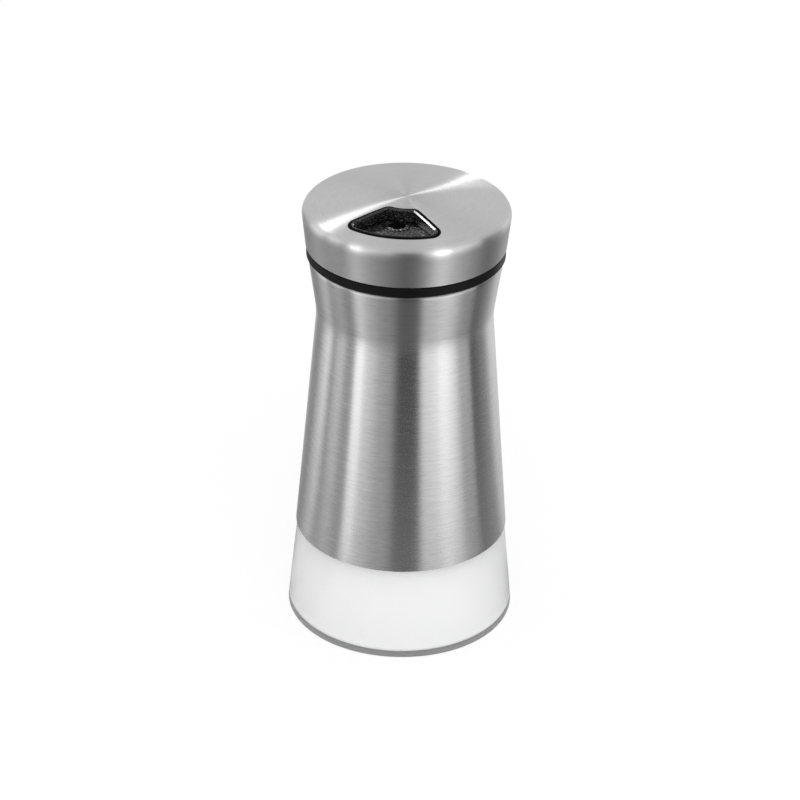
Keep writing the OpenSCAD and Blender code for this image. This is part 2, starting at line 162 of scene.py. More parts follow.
white = add(tree, "ShaderNodeEmission", {"Color": (1, 1, 1, 1),
                                         "Strength": level_of_table.outputs[0]})
share = maths(tree, "MULTIPLY", seen_plainly(tree), open_table)
mixed = add(tree, "ShaderNodeMixShader", {0: share, 1: matt.outputs[0], 2: white.outputs[0]})
tree.links.new(mixed.outputs[0], out.inputs["Surface"])
table_mesh.materials.append(table_paint)


def soft_lamp(name, place, target, sides, power):
    """A soft box of that width and height that looks at a point. Camera and glass don't see it."""
    data = bpy.data.lights.new(name, "AREA")
    data.shape = "RECTANGLE"
    data.size, data.size_y = sides
    data.energy = power
    lamp = bpy.data.objects.new(name, data)
    bpy.context.scene.collection.objects.link(lamp)
    back = np.array(place, float) - np.array(target, float)
    back /= np.linalg.norm(back)
    across = np.cross([0, 0, 1], back)
    across /= np.linalg.norm(across)
    pose = np.eye(4)
    pose[:3, 0], pose[:3, 1], pose[:3, 2] = across, np.cross(back, across), back
    pose[:3, 3] = place
    lamp.matrix_world = Matrix(pose.tolist())
    lamp.visible_camera = False
    lamp.visible_transmission = False
    return lamp


cap_middle = (0, 0, 0.11)
low_rear_lamp = soft_lamp("low_rear_lamp", place=(0.068, 0.495, 0.128), target=cap_middle,
                          sides=(0.008, 0.025), power=0.062)
low_rear_lamp.visible_diffuse = False
high_rear_lamp = soft_lamp("high_rear_lamp", place=(-0.185, 0.325, 0.443), target=cap_middle,
                           sides=(0.012, 0.03), power=0.115)
high_rear_lamp.visible_diffuse = False
front_lamp = soft_lamp("front_lamp", place=(0.08, -0.8, 0.9), target=(0, 0, 0.05),
                       sides=(0.8, 0.8), power=3.6)
front_lamp.visible_glossy = False


# Reflector cards
# Dark and light studio cards stand and lie around the shaker, out of the camera's sight, as a
# photographer sets them round bright metal. Only reflections show them.
def lathe(profile, count=192, shift=None):
    """Rings of points: an outline of (radius, height) carried round the Z axis in equal steps.
    shift, if given, is a function of angle, height and radius that moves points outwards."""
    profile = np.asarray(profile, float)
    angle = np.linspace(0, 2 * np.pi, count, endpoint=False)
    radius = np.repeat(profile[:, :1], count, axis=1)
    height = np.repeat(profile[:, 1:], count, axis=1)
    if shift is not None:
        radius = radius + shift(np.broadcast_to(angle, radius.shape), height, radius)
    return np.stack([radius * np.cos(angle), radius * np.sin(angle), height], axis=2)


sharp_edge = math.radians(32)


def ring_mesh(name, rows, closed=False):
    """Joins rings of points, all of equal length, into one smooth surface. With closed, the last
    ring joins the first. A ring whose points coincide becomes one point with a fan."""
    count, width = rows.shape[:2]
    grid = np.arange(count * width).reshape(count, width)
    beside = np.roll(grid, -1, axis=1)
    quads = np.stack([grid, beside, np.roll(beside, -1, axis=0), np.roll(grid, -1, axis=0)],
                     axis=2)
    quads = quads[:count if closed else count - 1].reshape(-1, 4)
    points = rows.reshape(-1, 3)
    pole = np.repeat(np.ptp(rows, axis=1).max(axis=1) < 1e-9, width)
    merged = np.arange(len(points))
    merged[pole] = (merged[pole] // width) * width
    faces = []
    for quad in merged[quads].tolist():
        corners = list(dict.fromkeys(quad))
        if len(corners) > 2:
            faces.append(corners)
    used = np.unique(np.concatenate([np.array(f) for f in faces]))
    renumber = np.full(len(points), -1)
    renumber[used] = np.arange(len(used))
    mesh = bpy.data.meshes.new(name)
    mesh.from_pydata(points[used].tolist(), [], [renumber[f].tolist() for f in faces])
    mesh.shade_smooth()
    mesh.set_sharp_from_angle(angle=sharp_edge)
    piece = bpy.data.objects.new(name, mesh)
    bpy.context.scene.collection.objects.link(piece)
    return piece


def arc(x, y, radius, start, end, steps):
    """Points of an arc round (x, y), from one angle to another in degrees."""
    angle = np.radians(np.linspace(start, end, steps + 1))
    return np.stack([x + radius * np.cos(angle), y + radius * np.sin(angle)], axis=1)


# Cards on the table, a cove, an upright wall and a vault
cove_r = 0.12
cove_z = 0.122
wall_r = 0.54
wall_heights = np.linspace(0.15, 0.7, 14)
card_profile = np.concatenate([
    [[0.03, 0.3 * mm], [0.04, 0.4 * mm], [0.08, 0.6 * mm], [0.13, 0.7 * mm], [0.2, 0.8 * mm],
     [0.3, 1.2 * mm], [0.42, 2 * mm]],
    arc(0.42, cove_z, cove_r, -90, 0, 8),
    np.stack([np.full(len(wall_heights), wall_r), wall_heights], axis=1),
    arc(0, wall_heights[-1], wall_r, 0, 90, 16)[1:]])
cards = ring_mesh("reflector_cards", lathe(card_profile, 240))
# Bearings in degrees from the viewer, to the right, and the grey of the card there
card_greys = np.array([
    (-180, 1.1), (-162, 1.1), (-152, 0.4), (-140, 0.2), (-124, 0.32), (-114, 0.8), (-105, 1.2),
    (-99, 0.75), (-94, 0.3), (-88, 0.6), (-80, 0.75), (-72, 0.38), (-67, 0.32), (-62, 0.5),
    (-58, 1.75), (-51, 1.8), (-46, 1.06), (-40, 0.84), (-34, 0.62), (-28, 0.45), (-16, 0.33),
    (-11, 0.2), (-7, 0.04), (-3, 0.0), (10, 0.0), (16, 0.05), (19, 0.4), (23, 1.0), (32, 1.2),
    (38, 1.35), (44, 1.75), (50, 1.75), (58, 1.4), (64, 1.0), (70, 0.5), (78, 0.5), (84, 0.42),
    (87, 0.05), (95, 0.06), (102, 0.14), (112, 0.24), (119, 0.42), (125, 0.75), (137, 0.95),
    (150, 0.95), (160, 0.9), (180, 1.0)])
near_greys = np.array([
    (-180, 0.8), (-160, 0.78), (-146, 0.5), (-130, 0.3), (100, 0.27), (112, 0.3), (119, 0.38),
    (126, 0.5), (140, 0.5), (180, 0.56)])
near_share = 0.8
near_from = 0.11
near_fade = 0.14
near_top = 0.1
wall_gain = 1.8
wall_limit = 1.15
wall_from = 1
fade_degrees = 14
high_grey = 0.68
# Bearings to either side, and the elevation in degrees where the even grey begins there
high_from = np.array([(70, 32), (100, 24), (125, 10), (150, -6)])


def card_tone(points):
    """The grey by bearing. Close to the shaker it is drawn towards a middle grey. Above the table
    it passes over 14 degrees into the same grey times a gain, up to a limit. High up, from 32
    degrees on in front and from the table on behind, it passes into an even light grey."""
    x, y, z = points.T
    reach = np.hypot(x, y)
    bearing = np.degrees(np.arctan2(x, -y))
    rise = np.degrees(np.arctan2(z, reach))
    tone = np.interp(bearing, card_greys[:, 0], card_greys[:, 1])
    near = near_share * (1 - np.clip((reach - near_from) / near_fade, 0, 1)) * (z < near_top)
    tone += near * (np.interp(bearing, near_greys[:, 0], near_greys[:, 1]) - tone)
    on_wall = np.clip((rise - wall_from) / fade_degrees, 0, 1)
    tone += on_wall * (np.minimum(tone * wall_gain, wall_limit) - tone)
    limit = np.interp(np.abs(bearing), high_from[:, 0], high_from[:, 1])
    high = np.clip((rise - limit) / fade_degrees, 0, 1)
    return tone + high * high * (3 - 2 * high) * (high_grey - tone)


corner_points = np.empty(len(cards.data.vertices) * 3, np.float32)
cards.data.vertices.foreach_get("co", corner_points)
grey = cards.data.attributes.new("grey", "FLOAT", "POINT")
grey.data.foreach_set("value", card_tone(corner_points.reshape(-1, 3)).astype(np.float32))
card_paint, tree, out = new_material("card_paint")
card_grey = add(tree, "ShaderNodeAttribute", attribute_name="grey")
glow = add(tree, "ShaderNodeEmission", {"Color": (1, 1, 1, 1),
                                        "Strength": card_grey.outputs["Fac"]})
path = add(tree, "ShaderNodeLightPath")
through = maths(tree, "GREATER_THAN", path.outputs["Transmission Depth"], 0.5)
clear = add(tree, "ShaderNodeBsdfTransparent", {"Color": (1, 1, 1, 1)})
mixed = add(tree, "ShaderNodeMixShader", {0: through, 1: glow.outputs[0], 2: clear.outputs[0]})
tree.links.new(mixed.outputs[0], out.inputs["Surface"])
card_paint.cycles.emission_sampling = "NONE"
cards.data.materials.append(card_paint)
cards.visible_camera = False
cards.visible_diffuse = False
cards.visible_transmission = False
cards.visible_shadow = False


# Glass bottle
# Pressed clear glass: a heavy foot with a ledge under the sleeve, a conical body, a shoulder and
# a neck with a right-hand thread. Outside and inside are one closed skin.
sleeve_low, sleeve_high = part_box("steel_sleeve")
bottle_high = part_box("glass_bottle")[1]
base_r = bottle_high.x - 0.02 * mm
heel_r = 1 * mm
ledge_z = sleeve_low.z
ledge_bevel = 0.12 * mm
waist_z = ledge_z + 60 * mm
waist_r = 21.8 * mm
sleeve_sheet = 0.5 * mm
sleeve_gap = 0.1 * mm
sleeve_proud = 0.25 * mm
glass_wall = 1.8 * mm
shoulder_z = sleeve_high.z - sleeve_sheet
shoulder_round = 0.5 * mm
neck_root = 0.25 * mm
rim_z = bottle_high.z
taper_lean = math.atan((base_r - waist_r) / (waist_z - heel_r))


def taper_x(z, inwards=0.0):
    """Radius of the sleeve's cone at a height, moved inwards square to the wall."""
    return waist_r + (waist_z - z) * math.tan(taper_lean) - inwards / math.cos(taper_lean)


body_r = taper_x(waist_z, sleeve_sheet + sleeve_gap)
neck_r = body_r - 2.9 * mm
mouth_r = neck_r - 2.4 * mm
ring_r = base_r - heel_r - 6 * mm
punt_h = 0.3 * mm
floor_z = 0.9 * mm
floor_r = 1.0 * mm
rim_round = 0.7 * mm
lean_deg = math.degrees(taper_lean)
punt_share = np.linspace(0, 1, 13)
punt = np.stack([ring_r * punt_share, punt_h * (1 - punt_share ** 2)], axis=1)
neck_steps = 150
neck_rows = np.linspace(shoulder_z + neck_root, rim_z - rim_round, neck_steps)
glass_outside = np.concatenate([
    punt,
    arc(base_r - heel_r, heel_r, heel_r, -90, lean_deg, 14),
    [[taper_x(ledge_z, sleeve_proud) - ledge_bevel, ledge_z - ledge_bevel],
     [taper_x(ledge_z, sleeve_proud) - 2 * ledge_bevel, ledge_z],
     [taper_x(ledge_z, sleeve_sheet + sleeve_gap), ledge_z],
     [body_r, waist_z]],
    arc(body_r - shoulder_round, shoulder_z - shoulder_round, shoulder_round, 0, 90, 6),
    [[neck_r + neck_root, shoulder_z]],
    np.stack([np.full(neck_steps, neck_r), neck_rows], axis=1),
    arc(neck_r - rim_round, rim_z - rim_round, rim_round, 10, 90, 8)])
inner_r = body_r - glass_wall
inner_z = shoulder_z - glass_wall
wall_in = sleeve_sheet + sleeve_gap + glass_wall
floor_corner = arc(taper_x(floor_z + floor_r, wall_in) - floor_r, floor_z + floor_r, floor_r,
                   lean_deg, -90, 12)
glass_inside = np.concatenate([
    arc(mouth_r + rim_round, rim_z - rim_round, rim_round, 90, 180, 8),
    [[mouth_r, inner_z], [inner_r, inner_z - inner_r + mouth_r], [inner_r, waist_z]],
    floor_corner,
    [[0, floor_z]]])
thread_pitch = 4 * mm
thread_depth = 1.1 * mm
thread_root = 1.7 * mm
thread_crest = 0.9 * mm
thread_turns = 1.2
thread_fade = 6
thread_z = shoulder_z + 2.94 * mm


def neck_thread(angle, height, radius):
    """A rounded tooth that climbs the neck by the pitch in each turn, and fades in and out."""
    rise = np.zeros_like(height)
    for whole in range(2):
        turns = whole + angle / (2 * np.pi)
        off = np.abs(height - thread_z - thread_pitch * turns)
        flank = np.clip((thread_root / 2 - off) / ((thread_root - thread_crest) / 2), 0, 1)
        fade = np.clip(np.minimum(turns, thread_turns - turns) * thread_fade, 0, 1)
        tooth = flank * flank * (3 - 2 * flank) * fade * thread_depth
        rise = np.maximum(rise, tooth)
    on_neck = np.abs(radius - neck_r) < 0.01 * mm
    return np.where(on_neck & (height < rim_z - rim_round), rise, 0)


def object_space(tree):
    """The point in the object's own space, which is the frame that all pieces share."""
    return add(tree, "ShaderNodeTexCoord").outputs["Object"]


def cloudy(tree, place, scale, detail=3.0, roughness=0.5):
    """Noise between 0 and 1 with about that many clouds to the metre."""
    return add(tree, "ShaderNodeTexNoise", {"Vector": place, "Scale": scale, "Detail": detail,
                                            "Roughness": roughness}).outputs["Fac"]


bottle = ring_mesh("bottle_glass", lathe(np.concatenate([glass_outside, glass_inside]), 384,
                                         neck_thread))
glass, tree, out = new_material("clear_glass")
ripple = cloudy(tree, object_space(tree), 90.0, 2.0)
ripple_bump = add(tree, "ShaderNodeBump", {"Height": ripple, "Strength": 0.05,
                                           "Distance": 0.3 * mm})
body = add(tree, "ShaderNodeBsdfPrincipled", {
    "Base Color": (0.99, 0.995, 0.992, 1), "Roughness": 0.02, "IOR": 1.5,
    "Transmission Weight": 1.0, "Normal": ripple_bump.outputs[0]})
lets_light = add(tree, "ShaderNodeBsdfTransparent", {"Color": (0.97, 0.98, 0.975, 1)})
path = add(tree, "ShaderNodeLightPath")
mixed = add(tree, "ShaderNodeMixShader", {0: path.outputs["Is Shadow Ray"], 1: body.outputs[0],
                                          2: lets_light.outputs[0]})
tree.links.new(mixed.outputs[0], out.inputs["Surface"])
bottle.data.materials.append(glass)
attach(bottle, "bottle")
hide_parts("glass_bottle")

# Salt
# The contents that make the bare foot of the bottle white: fine table salt, level on top, filled
# to above the middle of the bottle and lying against the glass. A slight painted glow on its sides
# stands for the light that the heap scatters inside; the top has none. Its underside shows as the
# grey line round the foot, lit by a weaker painted glow.
salt_top = 70 * mm
salt_gap = -0.04 * mm
heap_in = 1.5 * mm
heap_h = 1.2 * mm
heap_glow = 0.17
under_glow = 0.1
salt_side = np.linspace(1, 0, 24)
fill_corner = arc(taper_x(floor_z + floor_r, wall_in + salt_gap) - floor_r, floor_z + floor_r,
                  floor_r - salt_gap, -90, lean_deg, 12)
salt_profile = np.concatenate([
    [[0, floor_z + salt_gap]],
    fill_corner,
    [[taper_x(salt_top, wall_in + salt_gap), salt_top]],
    np.stack([taper_x(salt_top, wall_in + heap_in) * salt_side,
              salt_top + heap_h * (1 - salt_side)], axis=1)])
salt = ring_mesh("salt_fill", lathe(salt_profile, 160))


def grey_of(tree, value):
    """A colour whose red, green and blue are the same value."""
    return add(tree, "ShaderNodeCombineColor", {0: value, 1: value, 2: value}).outputs[0]


# Nearly all of the noise lies between these two values
noise_span = (0.3, 0.7)
grains, tree, out = new_material("table_salt")
place = object_space(tree)
grain = add(tree, "ShaderNodeTexVoronoi", {"Vector": place, "Scale": 2300.0,
                                           "Randomness": 1.0}).outputs["Distance"]
grain_tone = spread(tree, grain, (0.96, 0.9), (0.0, 0.7))
drift_tone = spread(tree, cloudy(tree, place, 60.0), (0.985, 1.0), noise_span)
tone = maths(tree, "MULTIPLY", grain_tone, drift_tone)
grain_bump = add(tree, "ShaderNodeBump", {"Height": grain, "Strength": 0.25,
                                          "Distance": 0.15 * mm})
facing = add(tree, "ShaderNodeNewGeometry").outputs["True Normal"]
facing_z = add(tree, "ShaderNodeSeparateXYZ", {0: facing}).outputs["Z"]
# Painted glow by facing: the sides glow by heap_glow, the underside by under_glow, and the top not
# at all.
painted_glow = spread(tree, facing_z, (heap_glow, under_glow), (-0.1, -0.9))
not_on_top = spread(tree, facing_z, (1.0, 0.0), (0.2, 0.6))
body = add(tree, "ShaderNodeBsdfPrincipled", {
    "Base Color": grey_of(tree, tone), "Roughness": 0.8, "Emission Color": (1, 1, 1, 1),
    "Emission Strength": maths(tree, "MULTIPLY", painted_glow, not_on_top),
    "Normal": grain_bump.outputs[0]})
tree.links.new(body.outputs[0], out.inputs["Surface"])
salt.data.materials.append(grains)
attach(salt, "bottle")


# Steel sleeve
# Thin stainless sheet round the bottle: a cone that stands on the glass ledge, a soft waist and a
# flare whose top edge is turned in over the shoulder. Brushed round the axis in short fine lines.
flare_h = sleeve_high.z - waist_z
sleeve_top_r = 24 * mm
flare_lean = math.atan((sleeve_top_r - waist_r) / flare_h)
waist_round = 22 * mm
corner_round = 0.9 * mm
lip_r = 19.7 * mm
blend_run = waist_round * math.tan((taper_lean + flare_lean) / 2)
blend_z0 = waist_z - blend_run * math.cos(taper_lean)
blend_x = taper_x(blend_z0) + waist_round * math.cos(taper_lean)
blend_z = blend_z0 + waist_round * math.sin(taper_lean)
corner_z = sleeve_high.z - corner_round
corner_x = (waist_r + (corner_z - waist_z) * math.tan(flare_lean)
            - corner_round / math.cos(flare_lean))


def sleeve_line(inwards):
    """The sleeve's outline from its foot to the lip, moved inwards: a straight cone, the waist's
    arc, a straight flare, the corner's arc and the lip."""
    flare_deg = math.degrees(flare_lean)
    waist = arc(blend_x, blend_z, waist_round + inwards, 180 + lean_deg, 180 - flare_deg, 16)
    corner = arc(corner_x, corner_z, corner_round - inwards, -flare_deg, 90, 10)
    foot = np.array([taper_x(ledge_z, inwards), ledge_z])
    cone = foot + (waist[0] - foot) * np.linspace(0, 1, 14)[:-1, None]
    flare = waist[-1] + (corner[0] - waist[-1]) * np.linspace(0, 1, 8)[1:-1, None]
    return np.concatenate([cone, waist, flare, corner, [[lip_r, sleeve_high.z - inwards]]])


edge_round = 0.12 * mm
sleeve_outer = sleeve_line(0)
sleeve_outer[0] += np.array([0.0, edge_round])
sleeve_foot_edge = np.array([[taper_x(ledge_z) - edge_round, ledge_z]])
sleeve_profile = np.concatenate([sleeve_foot_edge, sleeve_outer, sleeve_line(sleeve_sheet)[::-1]])
sleeve = ring_mesh("sleeve_shell", lathe(sleeve_profile, 256), closed=True)

# Waves of the brush lines along and across them, to the metre, for a coarse and a fine field
brush_scales = ((190.0, 2900.0), (520.0, 6500.0))
fine_share = 0.45
groove = 0.02 * mm
scuffing = 0.12
zone_blend = 1.2 * mm
hub_r = 12 * mm
hub_gain = 1.5


def brushed_steel(name, lines_follow, zone_z, painted_shade_tones, roughs, fineness, contrast):
    """Stainless sheet with short brush lines round the Z axis. Their noise runs slowly round the
    axis and fast along the height, or for a cap along height less radius. Tone and roughness are
    given for the zones below and above zone_z; the darker tone is painted shade on the same steel.
    A cap's roughness grows towards its middle."""
    material, tree, out = new_material(name)
    x, y, z = add(tree, "ShaderNodeSeparateXYZ", {0: object_space(tree)}).outputs
    across = z
    gain = 1.0
    if lines_follow == "height and radius":
        flat = add(tree, "ShaderNodeCombineXYZ", {"X": x, "Y": y})
        radius = add(tree, "ShaderNodeVectorMath", {0: flat.outputs[0]},
                     operation="LENGTH").outputs["Value"]
        across = maths(tree, "SUBTRACT", z, radius)
        gain = spread(tree, radius, (hub_gain, 1.0), (0.0, hub_r))
    fields = []
    for along, over in brush_scales:
        spot = add(tree, "ShaderNodeCombineXYZ", {
            "X": maths(tree, "MULTIPLY", x, along * fineness),
            "Y": maths(tree, "MULTIPLY", y, along * fineness),
            "Z": maths(tree, "MULTIPLY", across, over * fineness)})
        fields.append(cloudy(tree, spot.outputs[0], 1.0, 2.0, 0.6))
    lines = add(tree, "ShaderNodeMix", {0: fine_share, 2: fields[0], 3: fields[1]},
                data_type="FLOAT").outputs[0]
    zone = (zone_z - zone_blend, zone_z + zone_blend)
    wear = spread(tree, lines, (1 - contrast, 1 + contrast), noise_span)
    # The zone tone darkens one zone of the same steel as painted shade; wear varies it along the
    # brush lines.
    bright = maths(tree, "MULTIPLY", spread(tree, z, painted_shade_tones, zone), wear)
    scuff = spread(tree, lines, (1 - scuffing, 1 + scuffing), noise_span)
    even = maths(tree, "MULTIPLY", spread(tree, z, roughs, zone), gain)
    bump = add(tree, "ShaderNodeBump", {"Height": lines, "Strength": 1.0, "Distance": groove})
    tangent = add(tree, "ShaderNodeTangent", direction_type="RADIAL", axis="Z")
    body = add(tree, "ShaderNodeBsdfPrincipled", {
        "Base Color": grey_of(tree, bright), "Metallic": 1.0,
        "Roughness": maths(tree, "MULTIPLY", even, scuff), "Anisotropic": 1.0,
        "Anisotropic Rotation": 0.25, "Tangent": tangent.outputs[0], "Normal": bump.outputs[0]})
    tree.links.new(body.outputs[0], out.inputs["Surface"])
    return material


# The flare's darker tone, 0.6 against 0.74 on the cone, is painted shade on the same sheet.
sleeve.data.materials.append(brushed_steel(
    "sleeve_steel", "height", waist_z + 1 * mm, painted_shade_tones=(0.74, 0.6), roughs=(0.26, 0.3),
    fineness=1.0, contrast=0.12))
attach(sleeve, "bottle")
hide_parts("steel_sleeve")

# Lid base
# Black moulded plastic that screws on the neck. Its flange is the black band under the cap, and
# its plate with the dosing holes lies in the window. The moulding has a fine satin grain.
dust_scale = 2300.0
dust_span = (0.53, 0.64)
dust_rise = 0.2 * mm
plate_z = 111.2 * mm


def moulded_black(name, tone, roughness, shine, grain, depth, dust_z, dust):
    """Black plastic from a fine-grained mould: small grain in the surface and slight wear in
    gloss. Above dust_z, fine salt dust greys it by that share, in specks."""
    material, tree, out = new_material(name)
    place = object_space(tree)
    fine = cloudy(tree, place, grain)
    gloss = spread(tree, cloudy(tree, place, 160.0), (roughness * 0.85, roughness * 1.2),
                   noise_span)
    amount = spread(tree, cloudy(tree, place, dust_scale, 4.0, 0.7), (0.0, dust), dust_span)
    height = add(tree, "ShaderNodeSeparateXYZ", {0: place}).outputs["Z"]
    inside = spread(tree, height, (0.0, 1.0), (dust_z, dust_z + dust_rise))
    grey = maths(tree, "MULTIPLY_ADD", amount, inside, tone)
    bump = add(tree, "ShaderNodeBump", {"Height": fine, "Strength": 0.35, "Distance": depth})
    body = add(tree, "ShaderNodeBsdfPrincipled", {
        "Base Color": grey_of(tree, grey), "Roughness": gloss, "Specular IOR Level": shine,
        "Normal": bump.outputs[0]})
    tree.links.new(body.outputs[0], out.inputs["Surface"])
    return material


lid_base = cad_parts["lid_base"]
lid_base.data.materials.clear()
lid_base.data.materials.append(moulded_black(
    "lid_plastic", tone=0.004, roughness=0.42, shine=0.12, grain=2600.0, depth=0.03 * mm,
    dust_z=plate_z, dust=0.16))

# Seal, screw and washer
# A ring of translucent white silicone lies under the plate. The plain stainless screw and washer
# hold the dial's post from below. All three show only when the lid is off.
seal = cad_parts["lid_seal"]
silicone, tree, out = new_material("seal_silicone")
gloss = spread(tree, cloudy(tree, object_space(tree), 400.0, 2.0), (0.4, 0.6))
body = add(tree, "ShaderNodeBsdfPrincipled", {
    "Base Color": (0.8, 0.8, 0.78, 1), "Roughness": gloss, "Subsurface Weight": 0.3,
    "Subsurface Scale": 1.0 * mm})
tree.links.new(body.outputs[0], out.inputs["Surface"])
seal.data.materials.clear()
seal.data.materials.append(silicone)
fastener, tree, out = new_material("fastener_steel")
gloss = spread(tree, cloudy(tree, object_space(tree), 900.0), (0.2, 0.42))
body = add(tree, "ShaderNodeBsdfPrincipled", {
    "Base Color": (0.6, 0.6, 0.61, 1), "Metallic": 1.0, "Roughness": gloss})
tree.links.new(body.outputs[0], out.inputs["Surface"])
for name in ("pivot_screw", "pivot_washer"):
    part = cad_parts[name]
    part.data.materials.clear()
    part.data.materials.append(fastener)

# Steel cap
# Drawn stainless sheet: a shallow dome, a soft edge, a skirt that leans out, a foot turned in
# under the liner, and the fan-shaped cut-out. The top is brushed in circles round its centre.
cap_low, cap_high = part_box("steel_cap")
cap_foot_r = 24.55 * mm
dial_in_r = 21.95 * mm
cap_sheet = 0.45 * mm
clad_gap = 0.05 * mm
dome_r = 139 * mm
cap_edge = 2.2 * mm
cap_lean = math.radians(6.2)
crimp_w = 1.1 * mm
cap_z0 = cap_low.z
dome_z = cap_high.z - dome_r
lean_tan = math.tan(cap_lean)
edge_a = cap_foot_r - cap_edge / math.cos(cap_lean) + (dome_z - cap_z0) * lean_tan
edge_b = edge_a ** 2 - (dome_r - cap_edge) ** 2
edge_up = ((math.sqrt((edge_a * lean_tan) ** 2 - (1 + lean_tan ** 2) * edge_b) - edge_a * lean_tan)
           / (1 + lean_tan ** 2))
edge_x = edge_a + edge_up * lean_tan
edge_z = dome_z + edge_up
dome_half = math.degrees(math.atan(edge_x / edge_up))

window_bearing = math.radians(-100.6)
window_in = 6.7 * mm
window_out = dial_in_r - 1.2 * mm
window_half = math.radians(42)
window_apex = np.array([2.1 * mm, 0])
outer_corner = 3 * mm
inner_corner = 1.8 * mm
side_u = np.array([math.cos(window_half), math.sin(window_half)])
side_n = np.array([-math.sin(window_half), math.cos(window_half)])


def on_side(radius, reach):
    """Centre of a corner's circle: inside the window's side by that radius, and at that reach
    from the axis."""
    q = window_apex - radius * side_n
    along = q @ side_u
    return q + (math.sqrt(along ** 2 - q @ q + reach ** 2) - along) * side_u


outer_c = on_side(outer_corner, window_out - outer_corner)
inner_c = on_side(inner_corner, window_in + inner_corner)
outer_deg = math.degrees(math.atan2(outer_c[1], outer_c[0]))
inner_deg = math.degrees(math.atan2(inner_c[1], inner_c[0]))
side_deg = math.degrees(window_half) + 90


def window_ring(inwards=0.0):
    """The window's outline in plan, moved inwards: outer arc, corner, side, inner corner, inner
    arc and back, with the same number of points on each stretch whatever the distance."""
    corner = arc(*outer_c, outer_corner - inwards, outer_deg, side_deg, 20)
    small = arc(*inner_c, inner_corner - inwards, side_deg, inner_deg + 180, 16)
    side = corner[-1] + (small[0] - corner[-1]) * np.linspace(0, 1, 42)[1:-1, None]
    top = np.concatenate([corner, side, small])
    bottom = top[::-1] * np.array([1, -1])
    outer = arc(0, 0, window_out - inwards, -outer_deg, outer_deg, 72)[1:-1]
    inner = arc(0, 0, window_in + inwards, inner_deg, -inner_deg, 40)[1:-1]
    ring = np.concatenate([outer, top, inner, bottom])
    c, s = math.cos(window_bearing), math.sin(window_bearing)
    return ring @ np.array([[c, s], [-s, c]])


window_reach = 13.5 * mm
window_middle = window_reach * np.array([math.cos(window_bearing), math.sin(window_bearing)])
spokes = window_ring() - window_middle
spokes /= np.linalg.norm(spokes, axis=1)[:, None]


def circle_ring(radius):
    """Points where the spokes from the window's middle meet a circle round the axis."""
    along = spokes @ window_middle
    reach = np.sqrt(along ** 2 + radius ** 2 - window_middle @ window_middle) - along
    return window_middle + spokes * reach[:, None]


def at_height(plan, z):
    """A ring in plan, set at one height."""
    return np.column_stack([plan, np.full(len(plan), z)])


def on_dome(plan, lift):
    """A ring in plan, laid on the dome moved up square to its surface."""
    return np.column_stack([plan, dome_z + np.sqrt((dome_r + lift) ** 2 - (plan ** 2).sum(axis=1))])


def dome_rows(inwards, lift, shares):
    """Rings on the dome that pass from the window's outline over to the circle where the edge
    begins."""
    window = window_ring(inwards)
    rim = circle_ring(edge_x + (cap_edge + lift) * math.sin(math.radians(dome_half)))
    return [on_dome(window + (rim - window) * s, lift) for s in shares]


def cap_x(z, inwards):
    """Radius of the leaning skirt at a height, moved inwards square to the wall."""
    return cap_foot_r + (z - cap_z0) * lean_tan - inwards / math.cos(cap_lean)


cap_bend = cap_sheet + clad_gap
bend_z = cap_z0 + cap_bend
lean_out = math.degrees(cap_lean)
edge_points = arc(edge_x, edge_z, cap_edge, 90 - dome_half, -lean_out, 22)[1:]
skirt_heights = np.linspace(edge_points[-1, 1], bend_z, 10)[1:-1]
bend_points = arc(cap_x(bend_z, cap_bend), bend_z, cap_bend, -lean_out, -90, 8)
inner_edge = arc(edge_x, edge_z, cap_edge - cap_sheet, -lean_out, 90 - dome_half, 12)
top_shares = np.linspace(0, 1, 49) ** 1.25
cut_round = 0.1 * mm
cut_chamfer = 0.3 * cut_round
cap_rows = [on_dome(window_ring(), -cap_sheet), on_dome(window_ring(), -cut_round),
            on_dome(window_ring(-cut_chamfer), -cut_chamfer)]
cap_rows += dome_rows(-cut_round, 0, top_shares)
cap_rows += [at_height(circle_ring(x), z) for x, z in edge_points]
cap_rows += [at_height(circle_ring(cap_x(z, 0)), z) for z in skirt_heights]
cap_rows += [at_height(circle_ring(x), z) for x, z in bend_points]
cap_rows += [at_height(circle_ring(cap_foot_r - crimp_w), z) for z in (cap_z0, cap_z0 + cap_sheet)]
cap_rows += [at_height(circle_ring(cap_x(cap_z0 + cap_sheet, cap_sheet)), cap_z0 + cap_sheet)]
cap_rows += [at_height(circle_ring(x), z) for x, z in inner_edge[:-1]]
cap_rows += dome_rows(0, -cap_sheet, np.linspace(1, 0, 10)[:-1])
cap = ring_mesh("cap_shell", np.stack(cap_rows), closed=True)
# The darker tone below the edge, 0.53 against 0.74 on the dome, is painted shade on the same sheet.
cap.data.materials.append(brushed_steel(
    "cap_steel", "height and radius", edge_z, painted_shade_tones=(0.53, 0.74), roughs=(0.64, 0.31),
    fineness=1.5, contrast=0.1))
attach(cap, "dial")
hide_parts("steel_cap")

